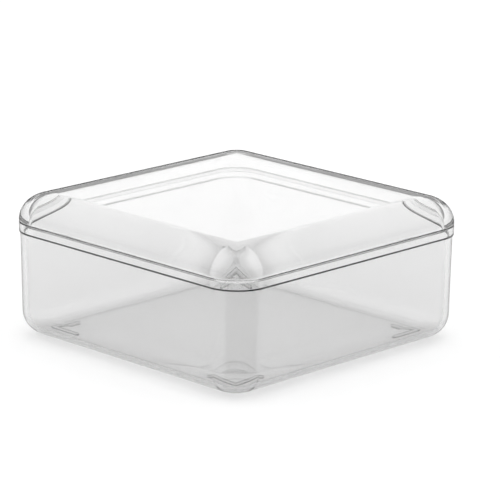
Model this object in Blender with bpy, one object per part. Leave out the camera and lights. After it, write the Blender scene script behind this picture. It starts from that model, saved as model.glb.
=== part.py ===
"""Square honey container: a clear moulded tray and its lift-off lid.

Both pieces are shells with a rounded square plan. Each is one ring, extruded
from station to station along its cross-section, so one list of stations, read
from the middle of one face round to the middle of the other, describes the
whole piece. A station is a half width, a height and a corner radius. The origin
is on the ground under the middle of the box, +Z is up.
"""

import math

import bmesh
import bpy

MM = 0.001

# Plan of the box, over the flush faces of the rim band and the lid
OUTER_SIDE = 118.0 * MM
CORNER_RADIUS = 13.0 * MM

# Heights, from the ground
FOOT_HEIGHT = 0.8 * MM
TRAY_DEPTH = 41.95 * MM
LID_HEIGHT = 9.85 * MM

# Walls
TRAY_WALL = 1.8 * MM
TRAY_FLOOR = 1.8 * MM
LID_TOP = 1.2 * MM
DRAFT = math.radians(1.0)

# Rim band of the tray, stepped outwards on both faces, and the lid's short lip inside it
BAND_HEIGHT = 3.85 * MM
BAND_STEP = 0.5 * MM
BAND_WALL = 1.6 * MM
LEDGE_RISE = 0.25 * MM
LEDGE_RADIUS = 0.34 * MM
LIP_DEPTH = 1.45 * MM
LIP_WALL = 1.25 * MM
LIP_EDGE_RADIUS = 0.5 * MM
SEAT_GAP = 0.3 * MM
EDGE_RADIUS = 0.25 * MM
BAND_EDGE_RADIUS = 0.45 * MM

# Rounded bottom of the tray, and shoulder of the lid over a low upright skirt
BOTTOM_RADIUS = 9.0 * MM
SHOULDER_RUN = 11.5 * MM
LID_SKIRT = 0.35 * MM
CEILING_SETBACK = 14.05 * MM
CEILING_RISE = 8.7 * MM
LID_INNER_CORNER = 10.5 * MM
SHARPEST_CORNER = 0.5 * MM

# Feet: one L-shaped rib under each corner, its bend towards the corner
FOOT_SETBACK = 11.8 * MM
FOOT_ARM = 14.0 * MM
FOOT_WIDTH = 1.8 * MM
FOOT_CORNER = 0.5 * MM

# Fineness of the curves
CORNER_STEPS = 10
FILLET_STEPS = 8
EDGE_STEPS = 2
FOOT_END_STEPS = 6

# How far the feet reach into the floor that carries them
ROOT = 0.6 * MM

# Values worked out from the sizes above
HALF = OUTER_SIDE / 2
WALL_HALF = HALF - BAND_STEP
SHOULDER_RISE = LID_HEIGHT - LID_SKIRT
INNER_HALF = WALL_HALF - TRAY_WALL
RIM_INNER_HALF = HALF - BAND_WALL
LIP_HALF = RIM_INNER_HALF - SEAT_GAP
LID_INNER_HALF = LIP_HALF - LIP_WALL
UNDERSIDE_Z = FOOT_HEIGHT
FLOOR_Z = UNDERSIDE_Z + TRAY_FLOOR
RIM_Z = UNDERSIDE_Z + TRAY_DEPTH
BAND_Z = RIM_Z - BAND_HEIGHT
LEDGE_Z = BAND_Z + LEDGE_RISE
SEAT_Z = RIM_Z + SEAT_GAP
LIP_Z = SEAT_Z - LIP_DEPTH
TOP_Z = SEAT_Z + LID_HEIGHT

CLEAR_TINT = (0.93, 0.94, 0.94, 1.0)
CLEAR_ROUGHNESS = 0.03
POLYSTYRENE_IOR = 1.59


def clear_scene():
    for obj in list(bpy.data.objects):
        bpy.data.objects.remove(obj, do_unlink=True)


def arc(half, z, radius_half, radius_z, start, end, steps):
    """Stations on a quarter ellipse; angles in degrees, 0 outwards, 90 up."""
    stations = []
    for i in range(steps + 1):
        angle = math.radians(start + (end - start) * i / steps)
        stations.append((half + radius_half * math.cos(angle), z + radius_z * math.sin(angle)))
    return stations


def drafted(half, drop):
    """Half width of a wall that leans in by the draft over a drop."""
    return half - drop * math.tan(DRAFT)


def tray_stations():
    """Cross-section of the tray, from under the floor round to its top side."""
    outer_foot = drafted(WALL_HALF, BAND_Z - UNDERSIDE_Z - BOTTOM_RADIUS)
    inner_radius = BOTTOM_RADIUS - TRAY_FLOOR
    inner_foot = drafted(INNER_HALF, LEDGE_Z - FLOOR_Z - inner_radius)
    stations = arc(
        outer_foot - BOTTOM_RADIUS, UNDERSIDE_Z + BOTTOM_RADIUS,
        BOTTOM_RADIUS, BOTTOM_RADIUS, -90, 0, FILLET_STEPS,
    )
    stations.append((WALL_HALF, BAND_Z))
    stations += arc(
        HALF - BAND_EDGE_RADIUS, BAND_Z + BAND_EDGE_RADIUS,
        BAND_EDGE_RADIUS, BAND_EDGE_RADIUS, -90, 0, EDGE_STEPS,
    )
    stations += arc(
        HALF - EDGE_RADIUS, RIM_Z - EDGE_RADIUS,
        EDGE_RADIUS, EDGE_RADIUS, 0, 90, EDGE_STEPS,
    )
    stations.append((RIM_INNER_HALF, RIM_Z))
    stations += arc(
        RIM_INNER_HALF - LEDGE_RADIUS, LEDGE_Z + LEDGE_RADIUS,
        LEDGE_RADIUS, LEDGE_RADIUS, 0, -90, EDGE_STEPS,
    )
    stations += arc(
        INNER_HALF + LEDGE_RADIUS, LEDGE_Z - LEDGE_RADIUS,
        LEDGE_RADIUS, LEDGE_RADIUS, 90, 180, EDGE_STEPS,
    )
    stations += arc(
        inner_foot - inner_radius, FLOOR_Z + inner_radius,
        inner_radius, inner_radius, 0, -90, FILLET_STEPS,
    )
    return [(half, z, CORNER_RADIUS - (HALF - half)) for half, z in stations]


def lid_stations():
    """Cross-section of the lid, from the middle of its top round to the inside."""
    ceiling_half = HALF - CEILING_SETBACK
    stations = arc(
        HALF - SHOULDER_RUN, TOP_Z - SHOULDER_RISE,
        SHOULDER_RUN, SHOULDER_RISE, 90, 0, FILLET_STEPS,
    )
    stations += arc(
        HALF - EDGE_RADIUS, SEAT_Z + EDGE_RADIUS,
        EDGE_RADIUS, EDGE_RADIUS, 0, -90, EDGE_STEPS,
    )
    stations.append((LIP_HALF, SEAT_Z))
    stations.append((LIP_HALF, LIP_Z))
    outside = [(half, z, CORNER_RADIUS - (HALF - half)) for half, z in stations]
    stations = arc(
        LID_INNER_HALF + LIP_EDGE_RADIUS, LIP_Z + LIP_EDGE_RADIUS,
        LIP_EDGE_RADIUS, LIP_EDGE_RADIUS, -90, -180, EDGE_STEPS,
    )
    stations += arc(
        ceiling_half, TOP_Z - LID_TOP - CEILING_RISE,
        LID_INNER_HALF - ceiling_half, CEILING_RISE, 0, 90, FILLET_STEPS,
    )
    inside = []
    for half, z in stations:
        corner = LID_INNER_CORNER - (LID_INNER_HALF - half)
        inside.append((half, z, max(corner, SHARPEST_CORNER)))
    return outside + inside


def ring_points(half, z, radius):
    """One turn round the box at a given half width and corner radius."""
    centre = half - radius
    points = []
    for quarter in range(4):
        turn = quarter * math.pi / 2
        side_x = 1 if quarter in (0, 3) else -1
        side_y = 1 if quarter in (0, 1) else -1
        for i in range(CORNER_STEPS + 1):
            angle = turn + math.pi / 2 * i / CORNER_STEPS
            points.append((
                side_x * centre + radius * math.cos(angle),
                side_y * centre + radius * math.sin(angle),
                z,
            ))
    return points


def extruded_row(bm, verts, points):
    """Extrude a closed row of vertices and move the new row to its points."""
    count = len(verts)
    edges = [bm.edges.get((verts[i], verts[(i + 1) % count])) for i in range(count)]
    grown = bmesh.ops.extrude_edge_only(bm, edges=edges)
    fresh = {item for item in grown["geom"] if isinstance(item, bmesh.types.BMVert)}
    row = []
    for vert, point in zip(verts, points):
        neighbours = [edge.other_vert(vert) for edge in vert.link_edges]
        new_vert = next(other for other in neighbours if other in fresh)
        new_vert.co = point
        row.append(new_vert)
    return row


def loft(name, stations, origin_z):
    """Extrude a ring from station to station, with a face over both ends."""
    bm = bmesh.new()
    rings = [ring_points(half, z - origin_z, corner) for half, z, corner in stations]
    row = [bm.verts.new(point) for point in rings[0]]
    bm.faces.new(row)
    for points in rings[1:]:
        row = extruded_row(bm, row, points)
    bm.faces.new(row)
    return new_object(name, bm, origin_z)


def face_outwards(bm):
    """Make all faces agree, then turn them outwards if they enclose a negative volume."""
    bmesh.ops.recalc_face_normals(bm, faces=bm.faces[:])
    if bm.calc_volume(signed=True) < 0:
        bmesh.ops.reverse_faces(bm, faces=bm.faces[:])


def new_object(name, bm, origin_z):
    face_outwards(bm)
    mesh = bpy.data.meshes.new(name)
    bm.to_mesh(mesh)
    bm.free()
    mesh.shade_smooth()
    mesh.set_sharp_from_angle(angle=math.radians(35))
    obj = bpy.data.objects.new(name, mesh)
    obj.location = (0, 0, origin_z)
    bpy.context.scene.collection.objects.link(obj)
    return obj


def foot_outline():
    """Plan of one foot, with its bend at the origin and its arms along -X and -Y."""
    half_width = FOOT_WIDTH / 2
    outline = []
    for i in range(FOOT_END_STEPS + 1):
        angle = math.pi / 2 * i / FOOT_END_STEPS
        outline.append((
            FOOT_CORNER * (math.cos(angle) - 1),
            FOOT_CORNER * (math.sin(angle) - 1),
        ))
    for i in range(FOOT_END_STEPS + 1):
        angle = math.pi / 2 + math.pi * i / FOOT_END_STEPS
        outline.append((
            half_width * math.cos(angle) - FOOT_ARM + half_width,
            half_width * math.sin(angle) - half_width,
        ))
    outline.append((-FOOT_WIDTH, -FOOT_WIDTH))
    for i in range(FOOT_END_STEPS + 1):
        angle = math.pi + math.pi * i / FOOT_END_STEPS
        outline.append((
            half_width * math.cos(angle) - half_width,
            half_width * math.sin(angle) - FOOT_ARM + half_width,
        ))
    return outline


def extruded(bm, outline, bottom, top):
    """Add a prism on a plan outline between two heights."""
    face = bm.faces.new([bm.verts.new((x, y, bottom)) for x, y in outline])
    grown = bmesh.ops.extrude_face_region(bm, geom=[face])
    moved = [item for item in grown["geom"] if isinstance(item, bmesh.types.BMVert)]
    bmesh.ops.translate(bm, verts=moved, vec=(0, 0, top - bottom))


def feet_guide():
    """The four feet, as a guide that the tray takes in."""
    bm = bmesh.new()
    reach = HALF - FOOT_SETBACK
    for quarter in range(4):
        turn = quarter * math.pi / 2
        cos_turn = round(math.cos(turn))
        sin_turn = round(math.sin(turn))
        outline = []
        for x, y in foot_outline():
            out_x = x + reach
            out_y = y + reach
            outline.append((out_x * cos_turn - out_y * sin_turn, out_x * sin_turn + out_y * cos_turn))
        extruded(bm, outline, 0, UNDERSIDE_Z + ROOT)
    guide = new_object("feet_guide", bm, 0)
    guide.hide_render = True
    guide.display_type = "WIRE"
    return guide


def clear_plastic(name):
    """Crystal-clear injection-moulded polystyrene."""
    material = bpy.data.materials.new(name)
    material.use_nodes = True
    shader = material.node_tree.nodes["Principled BSDF"]
    shader.inputs["Base Color"].default_value = CLEAR_TINT
    shader.inputs["Roughness"].default_value = CLEAR_ROUGHNESS
    shader.inputs["Metallic"].default_value = 0.0
    shader.inputs["IOR"].default_value = POLYSTYRENE_IOR
    shader.inputs["Transmission Weight"].default_value = 1.0
    return material


def make_tray():
    tray = loft("tray", tray_stations(), 0)
    union = tray.modifiers.new("feet", "BOOLEAN")
    union.operation = "UNION"
    union.solver = "EXACT"
    union.object = feet_guide()
    tray.data.materials.append(clear_plastic("clear_tray"))
    return tray


def make_lid():
    """The lid's own origin is on its lift axis, at the seat on the rim."""
    lid = loft("lid", lid_stations(), SEAT_Z)
    lid.data.materials.append(clear_plastic("clear_lid"))
    return lid


def main():
    clear_scene()
    make_tray()
    make_lid()


main()
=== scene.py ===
# %% [markdown]
# # A square honey box in clear plastic
# The real box is two clear mouldings: a tray that holds a cut piece of honeycomb, and a lid that lifts off.
# Nothing on it is painted or printed, so all that the eye gets is what the plastic does to the light.
# A clear object could be faked with a see-through colour, but then its edges would look empty. Here each
# moulding is a closed solid with walls as thick as such a box has, and the renderer bends light through it.
# The script starts by loading the measured solids, which every piece below has to fit.

# %% Load the frame
import math

import bmesh
import bpy
from mathutils import Matrix, Vector


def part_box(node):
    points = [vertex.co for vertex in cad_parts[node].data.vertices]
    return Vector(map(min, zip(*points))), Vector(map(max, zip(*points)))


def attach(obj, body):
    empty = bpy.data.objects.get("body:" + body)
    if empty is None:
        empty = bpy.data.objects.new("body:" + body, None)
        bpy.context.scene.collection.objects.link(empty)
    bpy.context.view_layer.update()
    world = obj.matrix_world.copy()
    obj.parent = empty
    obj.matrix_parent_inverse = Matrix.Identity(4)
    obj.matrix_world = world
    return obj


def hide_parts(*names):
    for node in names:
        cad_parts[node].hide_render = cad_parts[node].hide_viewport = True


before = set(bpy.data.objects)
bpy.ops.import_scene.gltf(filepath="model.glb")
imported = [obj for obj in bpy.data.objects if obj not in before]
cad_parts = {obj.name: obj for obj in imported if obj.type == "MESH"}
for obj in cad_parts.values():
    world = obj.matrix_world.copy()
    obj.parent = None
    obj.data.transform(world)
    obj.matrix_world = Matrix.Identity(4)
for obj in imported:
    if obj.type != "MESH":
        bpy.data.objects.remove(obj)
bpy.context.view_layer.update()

# %% [markdown]
# ## Units and colours
# Blender works in metres, but a moulding is thought of in millimetres, so each size is written in
# millimetres times MM. Colours are easier to judge as the sRGB hex values of a paint program, while shaders
# expect linear light. One function turns the first into the second, so no colour is ever typed twice.

# %% Units and colours
MM = 0.001


def linear(hex_colour, alpha=1.0):
    """One sRGB hex colour, such as "f2f4f4", as linear RGBA."""
    channels = []
    for i in (0, 2, 4):
        value = int(hex_colour[i:i + 2], 16) / 255
        channels.append(value / 12.92 if value <= 0.04045 else ((value + 0.055) / 1.055) ** 2.4)
    return (*channels, alpha)


print("mid grey, linear:", round(linear("808080")[0], 3))

# %% [markdown]
# ## Sizes of the tray
# The tray is a box 118 mm square with rounded corners and a deep round turn from wall to floor. Its wall
# leans in by one degree of draft, so that it slips off the mould. Round the rim runs a band that stands out
# by half a millimetre: it stiffens the edge and gives the fingers a line to find.
# The proportions were measured on the photograph. The scale is an estimate, from what such boxes measure.

# %% Sizes of the tray
OUTER_SIDE = 118.0 * MM
CORNER_RADIUS = 13.0 * MM
FOOT_HEIGHT = 0.8 * MM
TRAY_DEPTH = 41.95 * MM
TRAY_WALL = 1.8 * MM
TRAY_FLOOR = 1.8 * MM
DRAFT = math.radians(1.0)
BOTTOM_RADIUS = 9.0 * MM
BAND_HEIGHT = 3.85 * MM
BAND_STEP = 0.5 * MM
BAND_WALL = 1.6 * MM
BAND_EDGE_RADIUS = 0.45 * MM
LEDGE_RISE = 0.25 * MM
LEDGE_RADIUS = 0.34 * MM
print("tray side, mm:", round(OUTER_SIDE / MM, 2))

# %% [markdown]
# ## Sizes of the lid
# The lid is one broad shoulder round a flat top. Outside it curves down to a low upright skirt, flush with
# the band. Inside hangs a short lip that centres it in the rim. The inside curve of the shoulder isn't the
# outside curve moved inwards: the plastic is thicker there, and that is why it bends what is seen through it.

# %% Sizes of the lid
LID_HEIGHT = 9.85 * MM
LID_TOP = 1.2 * MM
LID_SKIRT = 0.35 * MM
SHOULDER_RUN = 11.5 * MM
CEILING_SETBACK = 14.05 * MM
CEILING_RISE = 8.7 * MM
LID_INNER_CORNER = 10.5 * MM
SHARPEST_CORNER = 0.5 * MM
LIP_DEPTH = 1.45 * MM
LIP_WALL = 1.25 * MM
LIP_EDGE_RADIUS = 0.5 * MM
SEAT_GAP = 0.3 * MM
EDGE_RADIUS = 0.25 * MM
SMALL_RADIUS = 0.15 * MM
print("lid height, mm:", round(LID_HEIGHT / MM, 2))

# %% [markdown]
# ## Half widths and heights
# Whatever lines up with another feature is worked out from it and is never typed again. So the lip follows
# the rim, and the top follows the seat. A half width is the distance from the middle of the box to a wall.
# The print compares the results with the boxes of the packed solids: each pair should agree.

# %% Half widths and heights
HALF = OUTER_SIDE / 2
WALL_HALF = HALF - BAND_STEP
INNER_HALF = WALL_HALF - TRAY_WALL
RIM_INNER_HALF = HALF - BAND_WALL
LIP_HALF = RIM_INNER_HALF - SEAT_GAP
LID_INNER_HALF = LIP_HALF - LIP_WALL
FLOOR_Z = FOOT_HEIGHT + TRAY_FLOOR
RIM_Z = FOOT_HEIGHT + TRAY_DEPTH
BAND_Z = RIM_Z - BAND_HEIGHT
LEDGE_Z = BAND_Z + LEDGE_RISE
SEAT_Z = RIM_Z + SEAT_GAP
LIP_Z = SEAT_Z - LIP_DEPTH
TOP_Z = SEAT_Z + LID_HEIGHT
SHOULDER_RISE = LID_HEIGHT - LID_SKIRT

tray_low, tray_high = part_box("tray")
lid_low, lid_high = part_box("lid")
comparisons = (
    ("rim", RIM_Z, tray_high.z),
    ("top", TOP_Z, lid_high.z),
    ("lip", LIP_Z, lid_low.z),
    ("half", HALF, lid_high.x),
)
for label, mine, packed in comparisons:
    print(label, "mm:", round(mine / MM, 2), "packed:", round(packed / MM, 2))

# %% [markdown]
# ## Rounded edges in a cross-section
# No edge of a moulding is quite sharp, and on clear plastic each rounding draws its own bright or dark line.
# A bevel modifier could round them all alike, but here the radii differ, so each is a short arc of points in
# the cross-section. The arc may be an ellipse, which the shoulder needs: it runs in further than it drops.

# %% Arc helper
SMALL_STEPS = 5


def arc(half, z, run, rise, start, end, steps):
    """Points on a quarter ellipse; angles in degrees, 0 outwards, 90 up."""
    points = []
    for i in range(steps + 1):
        angle = math.radians(start + (end - start) * i / steps)
        points.append((half + run * math.cos(angle), z + rise * math.sin(angle)))
    return points


def small_arc(half, z, radius, start, end):
    """A rounding of a fraction of a millimetre, which few points are enough for."""
    return arc(half, z, radius, radius, start, end, SMALL_STEPS)


print("points on a small rounding:", len(small_arc(0, 0, EDGE_RADIUS, 0, 90)))

# %% [markdown]
# ## Cross-section of the tray
# This is the line that a saw would show, from the middle of the underside out and up the wall, over the rim
# and back down to the floor inside. Each point is a half width, a height and a corner radius. The corner
# radius shrinks with the half width, so that every turn round the box keeps the same corner centres and the
# wall is as thick at the corners as along the sides.

# %% Cross-section of the tray
BOTTOM_STEPS = 24


def tray_section():
    outer_foot = WALL_HALF - (BAND_Z - FOOT_HEIGHT - BOTTOM_RADIUS) * math.tan(DRAFT)
    inner_radius = BOTTOM_RADIUS - TRAY_FLOOR
    inner_foot = INNER_HALF - (LEDGE_Z - FLOOR_Z - inner_radius) * math.tan(DRAFT)
    section = arc(
        outer_foot - BOTTOM_RADIUS, FOOT_HEIGHT + BOTTOM_RADIUS,
        BOTTOM_RADIUS, BOTTOM_RADIUS, -90, 0, BOTTOM_STEPS,
    )
    section.append((WALL_HALF, BAND_Z))
    section += small_arc(HALF - BAND_EDGE_RADIUS, BAND_Z + BAND_EDGE_RADIUS, BAND_EDGE_RADIUS, -90, 0)
    section += small_arc(HALF - EDGE_RADIUS, RIM_Z - EDGE_RADIUS, EDGE_RADIUS, 0, 90)
    section += small_arc(RIM_INNER_HALF + SMALL_RADIUS, RIM_Z - SMALL_RADIUS, SMALL_RADIUS, 90, 180)
    section += small_arc(RIM_INNER_HALF - LEDGE_RADIUS, LEDGE_Z + LEDGE_RADIUS, LEDGE_RADIUS, 0, -90)
    section += small_arc(INNER_HALF + LEDGE_RADIUS, LEDGE_Z - LEDGE_RADIUS, LEDGE_RADIUS, 90, 180)
    section += arc(
        inner_foot - inner_radius, FLOOR_Z + inner_radius,
        inner_radius, inner_radius, 0, -90, BOTTOM_STEPS,
    )
    return [(half, z, CORNER_RADIUS - (HALF - half)) for half, z in section]


print("tray section:", len(tray_section()), "points")

# %% [markdown]
# ## Cross-section of the lid
# The line runs from the flat top down the shoulder, round the seat and the lip, and back up inside. The
# inside has its own corner radius, smaller than the outside one. Where it would shrink to nothing near the
# flat ceiling it stops at half a millimetre, because a corner of no radius would fold the surface.

# %% Cross-section of the lid
SHOULDER_STEPS = 28


def lid_section():
    section = arc(
        HALF - SHOULDER_RUN, TOP_Z - SHOULDER_RISE,
        SHOULDER_RUN, SHOULDER_RISE, 90, 0, SHOULDER_STEPS,
    )
    section += small_arc(HALF - EDGE_RADIUS, SEAT_Z + EDGE_RADIUS, EDGE_RADIUS, 0, -90)
    section += small_arc(LIP_HALF + SMALL_RADIUS, SEAT_Z - SMALL_RADIUS, SMALL_RADIUS, 90, 180)
    section += small_arc(LIP_HALF - SMALL_RADIUS, LIP_Z + SMALL_RADIUS, SMALL_RADIUS, 0, -90)
    outside = [(half, z, CORNER_RADIUS - (HALF - half)) for half, z in section]
    ceiling_half = HALF - CEILING_SETBACK
    section = small_arc(
        LID_INNER_HALF + LIP_EDGE_RADIUS, LIP_Z + LIP_EDGE_RADIUS,
        LIP_EDGE_RADIUS, -90, -180,
    )
    section += arc(
        ceiling_half, TOP_Z - LID_TOP - CEILING_RISE,
        LID_INNER_HALF - ceiling_half, CEILING_RISE, 0, 90, SHOULDER_STEPS,
    )
    inside = []
    for half, z in section:
        corner = LID_INNER_CORNER - (LID_INNER_HALF - half)
        inside.append((half, z, max(corner, SHARPEST_CORNER)))
    return outside + inside


print("lid section:", len(lid_section()), "points")

# %% [markdown]
# ## From a cross-section to a shell
# Both mouldings are the same idea: one line carried once round a square with rounded corners. A curve with
# a bevel object would do that for a constant corner radius, but the radius changes with each point here.
# So every point becomes a ring, and neighbouring rings are skinned with quads. A face over the first ring
# and one over the last close the solid, which glass needs: light must leave each wall that it has entered.

# %% Rings
CORNER_STEPS = 24


def ring(half, z, radius):
    """One turn round the box at a half width: four straights and four arcs."""
    centre = half - radius
    points = []
    for quarter in range(4):
        side_x = 1 if quarter in (0, 3) else -1
        side_y = 1 if quarter in (0, 1) else -1
        for i in range(CORNER_STEPS + 1):
            angle = math.pi / 2 * (quarter + i / CORNER_STEPS)
            points.append((
                side_x * centre + radius * math.cos(angle),
                side_y * centre + radius * math.sin(angle),
                z,
            ))
    return points


print("points in a ring:", len(ring(HALF, 0, CORNER_RADIUS)))


# %% Skin and finish
def finish_mesh(name, bm):
    """Turn the faces outwards and make the object."""
    bmesh.ops.recalc_face_normals(bm, faces=bm.faces[:])
    if bm.calc_volume(signed=True) < 0:
        bmesh.ops.reverse_faces(bm, faces=bm.faces[:])
    mesh = bpy.data.meshes.new(name)
    bm.to_mesh(mesh)
    bm.free()
    obj = bpy.data.objects.new(name, mesh)
    bpy.context.scene.collection.objects.link(obj)
    return obj


def moulded_shell(name, section):
    bm = bmesh.new()
    rows = []
    for half, z, corner in section:
        rows.append([bm.verts.new(point) for point in ring(half, z, corner)])
    for lower, upper in zip(rows, rows[1:]):
        for i in range(len(lower)):
            j = (i + 1) % len(lower)
            bm.faces.new((lower[i], lower[j], upper[j], upper[i]))
    bm.faces.new(rows[0])
    bm.faces.new(rows[-1])
    print(name, "volume, cubic cm:", round(abs(bm.calc_volume()) / (10 * MM) ** 3, 1))
    return finish_mesh(name, bm)


tray = moulded_shell("moulded_tray", tray_section())
lid = moulded_shell("moulded_lid", lid_section())

# %% [markdown]
# ## Feet
# Under each corner is an L-shaped foot, its bend towards the corner, that keeps the floor off the table and
# rests on the flat top of a box below. The feet are flat prisms that reach a little way into the floor, so
# that the union further down has real overlap to work with and no two faces coincide.

# %% Sizes of the feet
FOOT_SETBACK = 11.8 * MM
FOOT_ARM = 14.0 * MM
FOOT_WIDTH = 1.8 * MM
FOOT_CORNER = 0.5 * MM
ROOT = 0.6 * MM
FOOT_CORNER_STEPS = 6
FOOT_END_STEPS = 12
print("feet span, mm:", round(2 * (HALF - FOOT_SETBACK) / MM, 1))


# %% Outline of one foot
def turned(radius, centre_x, centre_y, start, sweep, steps):
    """Points on an arc in plan; angles in radians."""
    points = []
    for i in range(steps + 1):
        angle = start + sweep * i / steps
        points.append((centre_x + radius * math.cos(angle), centre_y + radius * math.sin(angle)))
    return points


def foot_outline():
    """One foot with its bend at the origin and its arms along -X and -Y, round at both ends."""
    half_width = FOOT_WIDTH / 2
    end = FOOT_ARM - half_width
    outline = turned(FOOT_CORNER, -FOOT_CORNER, -FOOT_CORNER, 0, math.pi / 2, FOOT_CORNER_STEPS)
    outline += turned(half_width, -end, -half_width, math.pi / 2, math.pi, FOOT_END_STEPS)
    outline.append((-FOOT_WIDTH, -FOOT_WIDTH))
    outline += turned(half_width, -half_width, -end, math.pi, math.pi, FOOT_END_STEPS)
    return outline


print("foot outline:", len(foot_outline()), "points")


# %% Prisms for the feet
def add_prism(bm, outline, bottom, top):
    face = bm.faces.new([bm.verts.new((x, y, bottom)) for x, y in outline])
    grown = bmesh.ops.extrude_face_region(bm, geom=[face])
    moved = [item for item in grown["geom"] if isinstance(item, bmesh.types.BMVert)]
    bmesh.ops.translate(bm, verts=moved, vec=(0, 0, top - bottom))


bm = bmesh.new()
reach = HALF - FOOT_SETBACK
for quarter in range(4):
    cos_turn = round(math.cos(quarter * math.pi / 2))
    sin_turn = round(math.sin(quarter * math.pi / 2))
    outline = []
    for x, y in foot_outline():
        out_x = x + reach
        out_y = y + reach
        outline.append((out_x * cos_turn - out_y * sin_turn, out_x * sin_turn + out_y * cos_turn))
    add_prism(bm, outline, 0, FOOT_HEIGHT + ROOT)
print("faces of the prisms:", len(bm.faces))
feet = finish_mesh("feet", bm)

# %% [markdown]
# ## One moulding, not five
# The feet are part of the tray. If they only pushed into it, the renderer would find surfaces inside the
# plastic and draw them as lines that a real moulding hasn't got. A boolean union with the exact solver
# melts them together, and the modifier is applied at once because the prisms aren't needed any more.

# %% Join the feet to the tray
union = tray.modifiers.new("feet", "BOOLEAN")
union.operation = "UNION"
union.solver = "EXACT"
union.object = feet
graph = bpy.context.evaluated_depsgraph_get()
joined = bpy.data.meshes.new_from_object(tray.evaluated_get(graph))
tray.modifiers.clear()
tray.data = joined
bpy.data.objects.remove(feet)
print("tray after the union:", len(tray.data.vertices), "vertices")

# %% [markdown]
# ## Smooth shading
# Light that is bent by a surface shows every facet, far more than light that only falls on it. Smooth
# shading hides the facets of the curves, edges over 40 degrees stay crisp, and weighted normals keep the
# large flat walls truly flat beside the small roundings.

# %% Smooth shading
CRISP_FROM = math.radians(40)
FAVOUR_LARGE_FACES = 100

for obj in (tray, lid):
    obj.data.shade_smooth()
    obj.data.set_sharp_from_angle(angle=CRISP_FROM)
    weighted = obj.modifiers.new("weighted_normals", "WEIGHTED_NORMAL")
    weighted.keep_sharp = True
    weighted.weight = FAVOUR_LARGE_FACES
    print(obj.name, len(obj.data.polygons), "faces")


# %% [markdown]
# ## A node helper
# Materials and the light are both built from nodes. One small function adds a node of any kind, sets its
# properties and sockets, and links its inputs, so each step of a material stays one short statement.


# %% Node helper
def add_node(tree, kind, settings=None, links=None):
    """Add one node, set its properties and sockets, and link its inputs."""
    node = tree.nodes.new(kind)
    for key, value in (settings or {}).items():
        if isinstance(key, int) or key in node.inputs:
            node.inputs[key].default_value = value
        else:
            setattr(node, key, value)
    for key, socket in (links or {}).items():
        tree.links.new(socket, node.inputs[key])
    return node


print(add_node.__name__, "-", add_node.__doc__)

# %% [markdown]
# ## Clear polystyrene from a polished mould
# Crystal-clear polystyrene bends light strongly, with an index of 1.59, which is what gives such boxes
# their bright edges. It has no colour of its own. What the eye still finds on a wall is faint: the wall
# isn't quite flat, with waves about 16 mm long left by shrinkage, the mould's polish leaves a grain, drawn
# here at 0.8 mm, and handling adds patches of the least haze, about 30 mm across. The photograph is too
# small to measure any of the three, so their sizes are guesses from how such mouldings usually look.
# Real polystyrene also absorbs almost nothing. In the photograph the tray is clearly greyer than the lid,
# so both get a neutral absorption matched to those greys. It is a setting of the look, not a property
# measured on the plastic.

# %% Sizes of the finish
STYRENE_IOR = 1.59
CLEAREST = "ffffff"
FAINTEST_TINT = "fdfdfd"
WAVE_LENGTH = 16.0 * MM
WAVE_HEIGHT = 0.012 * MM
GRAIN_SIZE = 0.8 * MM
GRAIN_HEIGHT = 0.00015 * MM
HAZE_PATCH = 30.0 * MM
HAZE_STARTS = 0.45
HAZE_FULL = 0.75
POLISHED = 0.0
HANDLED = 0.03
TRAY_ABSORPTION = 60.0
LID_ABSORPTION = 15.0
print("light left after 10 mm of tray:", round(math.exp(-TRAY_ABSORPTION * 10 * MM), 2))


# %% Clear polystyrene
def clear_polystyrene(name, absorption_per_metre):
    material = bpy.data.materials.new(name)
    material.use_nodes = True
    tree = material.node_tree
    shader = tree.nodes["Principled BSDF"]
    shader.inputs["IOR"].default_value = STYRENE_IOR
    shader.inputs["Transmission Weight"].default_value = 1.0
    place = add_node(tree, "ShaderNodeTexCoord").outputs["Object"]
    patches = add_node(
        tree, "ShaderNodeTexNoise", {"Scale": 1 / HAZE_PATCH, "Detail": 3.0},
        {"Vector": place},
    )
    waves = add_node(
        tree, "ShaderNodeTexNoise", {"Scale": 1 / WAVE_LENGTH, "Detail": 0.0},
        {"Vector": place},
    )
    grain = add_node(
        tree, "ShaderNodeTexNoise", {"Scale": 1 / GRAIN_SIZE, "Detail": 1.0},
        {"Vector": place},
    )
    tint = add_node(
        tree, "ShaderNodeMix", {"data_type": "RGBA", 6: linear(CLEAREST), 7: linear(FAINTEST_TINT)},
        {0: patches.outputs["Fac"]},
    )
    haze = add_node(tree, "ShaderNodeMapRange", {
        "From Min": HAZE_STARTS, "From Max": HAZE_FULL, "To Min": POLISHED, "To Max": HANDLED,
    }, {"Value": patches.outputs["Fac"]})
    wavy = add_node(tree, "ShaderNodeBump", {"Distance": WAVE_HEIGHT}, {"Height": waves.outputs["Fac"]})
    polished = add_node(
        tree, "ShaderNodeBump", {"Distance": GRAIN_HEIGHT},
        {"Height": grain.outputs["Fac"], "Normal": wavy.outputs["Normal"]},
    )
    tree.links.new(tint.outputs[2], shader.inputs["Base Color"])
    tree.links.new(haze.outputs["Result"], shader.inputs["Roughness"])
    tree.links.new(polished.outputs["Normal"], shader.inputs["Normal"])
    absorption = add_node(tree, "ShaderNodeVolumeAbsorption", {
        "Color": linear("000000"), "Density": absorption_per_metre,
    })
    tree.links.new(absorption.outputs["Volume"], tree.nodes["Material Output"].inputs["Volume"])
    return material


for obj, absorption_per_metre in ((tray, TRAY_ABSORPTION), (lid, LID_ABSORPTION)):
    material = clear_polystyrene("clear_polystyrene_" + obj.name, absorption_per_metre)
    obj.data.materials.clear()
    obj.data.materials.append(material)
    print(material.name, len(material.node_tree.nodes), "nodes")

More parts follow.
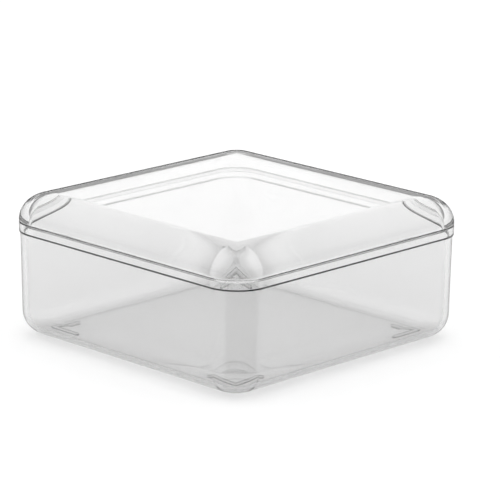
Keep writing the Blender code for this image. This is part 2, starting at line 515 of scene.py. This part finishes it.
# %% [markdown]
# ## Which piece rides on which body
# The lid lifts off and the tray stays, so each moulding is tied to its own moving body. It also takes the
# place of the plain solid that it was built around, which would otherwise be drawn inside it.

# %% Ride and replace
for obj, node, slot in ((tray, "tray", "clear_tray"), (lid, "lid", "clear_lid")):
    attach(obj, node)
    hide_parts(node)
    print(obj.name, "rides on", node)

# %% [markdown]
# ## The white table
# The box stands on a matt white table so light that it melts into the background. A matt surface needs no
# gloss at all. It lies a hair under the feet, so that the two never share a plane. Reflections in the
# plastic don't show it: its place in them is taken by the light below the horizon, set in the next step.

# %% The white table
TABLE_RADIUS = 4000.0 * MM
TABLE_DROP = 0.05 * MM
TABLE_WHITE = "f8f8f8"
TABLE_SIDES = 96

bm = bmesh.new()
bmesh.ops.create_circle(bm, cap_ends=True, radius=TABLE_RADIUS, segments=TABLE_SIDES)
table = finish_mesh("table", bm)
table.location.z = -TABLE_DROP
table_material = bpy.data.materials.new("matt_white_table")
table_material.use_nodes = True
table_shader = table_material.node_tree.nodes["Principled BSDF"]
table_shader.inputs["Base Color"].default_value = linear(TABLE_WHITE)
table_shader.inputs["Roughness"].default_value = 1.0
table_shader.inputs["Specular IOR Level"].default_value = 0.0
table.data.materials.append(table_material)
table.visible_glossy = False
print("table reflects", round(linear(TABLE_WHITE)[0], 3))

# %% [markdown]
# ## Studio light
# Clear plastic has no shading of its own: every tone is a picture of the room. Photographers light it with
# a large soft white all round, and leave a few dark strips that draw the edges. The same is done here with
# the world, not with lamps, because a lamp would show in the plastic as a hard shape.
# The brightness depends on how high a direction points. There are three such scales: one for the room
# behind the box, one for both sides and one for the camera's side. The dark strip that the front corner
# mirrors is on the camera's side, 9 to 24 degrees below level. Another, level with the horizon behind the
# box, draws the edges of the lid. Test renders under one patch of light at a time showed which part of the
# room each tone mirrors. The stops are round values, set until the greys came near the photograph's. The
# camera itself sees a plain white backdrop instead of these strips, as in a real studio, where they would be
# kept out of the picture.

# %% Brightness by elevation
BEHIND = [
    (-90, 1.0), (-28, 1.0), (-24, 0.35), (-9, 0.35), (-7, 0.0), (6, 0.0),
    (8, 1.1), (24, 1.1), (30, 1.05), (60, 1.15), (72, 1.6), (90, 1.75),
]
SIDES = [
    (-90, 1.0), (-28, 1.0), (-24, 1.2), (-9, 1.2), (-6, 0.4), (6, 0.42),
    (14, 0.8), (30, 1.0), (60, 1.2), (72, 1.6), (90, 1.75),
]
CAMERA_SIDE = [
    (-90, 1.0), (-28, 1.0), (-24, 0.0), (-9, 0.0), (-6, 0.27), (6, 0.42),
    (14, 0.7), (30, 1.1), (60, 1.2), (72, 1.6), (90, 1.75),
]
BRIGHTEST = 2.0
BACKDROP_WHITE = "ffffff"
CAMERA_TURN = math.radians(44.581)
DARK_TURN = CAMERA_TURN + math.radians(19)
# Where one scale gives way to the next, as cosines of the angle from a turn
BEHIND_TO_SIDES = (-0.98, -0.45)
SIDES_TO_CAMERA_SIDE = (0.45, 0.75)
print("stops:", len(BEHIND), len(SIDES), len(CAMERA_SIDE))

# %% Direction and height
world = bpy.data.worlds.new("studio")
bpy.context.scene.world = world
world.use_nodes = True
sky = world.node_tree
direction = add_node(sky, "ShaderNodeTexCoord").outputs["Generated"]
split = add_node(sky, "ShaderNodeSeparateXYZ", links={"Vector": direction})
elevation = add_node(sky, "ShaderNodeMath", {"operation": "ARCSINE"}, {0: split.outputs["Z"]})
height = add_node(
    sky, "ShaderNodeMapRange", {"From Min": -math.pi / 2, "From Max": math.pi / 2},
    {"Value": elevation.outputs[0]},
)
flat = add_node(sky, "ShaderNodeVectorMath", {"operation": "MULTIPLY", 1: (1, 1, 0)}, {0: direction})
level = add_node(sky, "ShaderNodeVectorMath", {"operation": "NORMALIZE"}, {0: flat.outputs["Vector"]})
print("sky nodes so far:", len(sky.nodes))


# %% The three scales
def scale_of_light(stops):
    """A ramp from straight down to straight up; its colours are kept below 1 and scaled up later."""
    node = add_node(sky, "ShaderNodeValToRGB", links={"Fac": height.outputs["Result"]})
    elements = node.color_ramp.elements
    elements.remove(elements[1])
    for i, (degrees, value) in enumerate(stops):
        position = (degrees + 90) / 180
        element = elements.new(position) if i else elements[0]
        element.position = position
        element.color = (value / BRIGHTEST, value / BRIGHTEST, value / BRIGHTEST, 1)
    return node.outputs["Color"]


def facing(turn, low, high):
    """How much a direction faces the given turn round the box: 0 below low, 1 above high."""
    toward = add_node(sky, "ShaderNodeVectorMath", {
        "operation": "DOT_PRODUCT", 1: (math.sin(turn), -math.cos(turn), 0),
    }, {0: level.outputs["Vector"]})
    share = add_node(sky, "ShaderNodeMapRange", {
        "interpolation_type": "SMOOTHSTEP", "From Min": low, "From Max": high,
    }, {"Value": toward.outputs["Value"]})
    return share.outputs["Result"]


behind_and_sides = add_node(sky, "ShaderNodeMix", {"data_type": "RGBA"}, {
    0: facing(CAMERA_TURN, *BEHIND_TO_SIDES), 6: scale_of_light(BEHIND), 7: scale_of_light(SIDES),
})
all_round = add_node(sky, "ShaderNodeMix", {"data_type": "RGBA"}, {
    0: facing(DARK_TURN, *SIDES_TO_CAMERA_SIDE),
    6: behind_and_sides.outputs[2],
    7: scale_of_light(CAMERA_SIDE),
})
full = add_node(
    sky, "ShaderNodeVectorMath", {"operation": "SCALE", "Scale": BRIGHTEST},
    {0: all_round.outputs[2]},
)
backdrop = add_node(sky, "ShaderNodeMix", {"data_type": "RGBA", 7: linear(BACKDROP_WHITE)}, {
    0: add_node(sky, "ShaderNodeLightPath").outputs["Is Camera Ray"], 6: full.outputs["Vector"],
})
sky.links.new(backdrop.outputs[2], sky.nodes["Background"].inputs["Color"])
sky.nodes["Background"].inputs["Strength"].default_value = 1.0
print("sky nodes:", len(sky.nodes))

# %% [markdown]
# ## Camera
# The photograph was taken from far away with a long lens, a little above the box and with one corner
# towards it. The values were fitted to the straight edges of the box, and the roll of 0.6 degrees came out
# of the same fit: the picture isn't quite level. Depth of field stays off, as everything is sharp. Lens and
# sensor are in millimetres already, as Blender takes them.

# %% Camera
LENS = 215.78
SENSOR = 36.0
DISTANCE = 1077.88 * MM
ELEVATION = math.radians(15.375)
ROLL = math.radians(0.613)
AIM_RIGHT = 4.898 * MM
AIM_UP = 32.24 * MM
CLIP_NEAR = 50.0 * MM
CLIP_FAR = 50000.0 * MM

back = Vector((
    math.sin(CAMERA_TURN) * math.cos(ELEVATION),
    -math.cos(CAMERA_TURN) * math.cos(ELEVATION),
    math.sin(ELEVATION),
))
right = (-back).cross(Vector((0, 0, 1))).normalized()
up = right.cross(-back)
right_rolled = math.cos(ROLL) * right + math.sin(ROLL) * up
up_rolled = math.cos(ROLL) * up - math.sin(ROLL) * right
camera_data = bpy.data.cameras.new("photo_camera")
camera_data.sensor_width = SENSOR
camera_data.lens = LENS
camera_data.clip_start = CLIP_NEAR
camera_data.clip_end = CLIP_FAR
camera = bpy.data.objects.new("photo_camera", camera_data)
rotation = Matrix((right_rolled, up_rolled, back)).transposed().to_4x4()
place = right * AIM_RIGHT + Vector((0, 0, AIM_UP)) + back * DISTANCE
camera.matrix_world = Matrix.Translation(place) @ rotation
bpy.context.scene.collection.objects.link(camera)
bpy.context.scene.camera = camera
print("camera at, mm:", [round(value / MM) for value in place])

# %% [markdown]
# ## Light paths
# A ray to the table crosses four skins of plastic and has to cross as many again to reach the light, so
# with fewer than eight turns the floor goes dark: a test with seven drew it 42 grey levels darker. Real
# light isn't cut off after any number of turns. The limit is a setting of the look: what is caught inside
# the thick rims stays dark, as in the photograph.
# The view transform is the plain one, so that white stays white.

# %% Light paths
BOUNCES = 8
DIFFUSE_BOUNCES = 4

scene = bpy.context.scene
scene.view_settings.view_transform = "Standard"
scene.view_settings.look = "None"
scene.cycles.max_bounces = BOUNCES
scene.cycles.transmission_bounces = BOUNCES
scene.cycles.glossy_bounces = BOUNCES
scene.cycles.diffuse_bounces = DIFFUSE_BOUNCES
scene.cycles.caustics_refractive = True
scene.cycles.caustics_reflective = True
scene.cycles.blur_glossy = 0.0
scene.cycles.sample_clamp_indirect = 0.0
print("bounces:", scene.cycles.max_bounces)
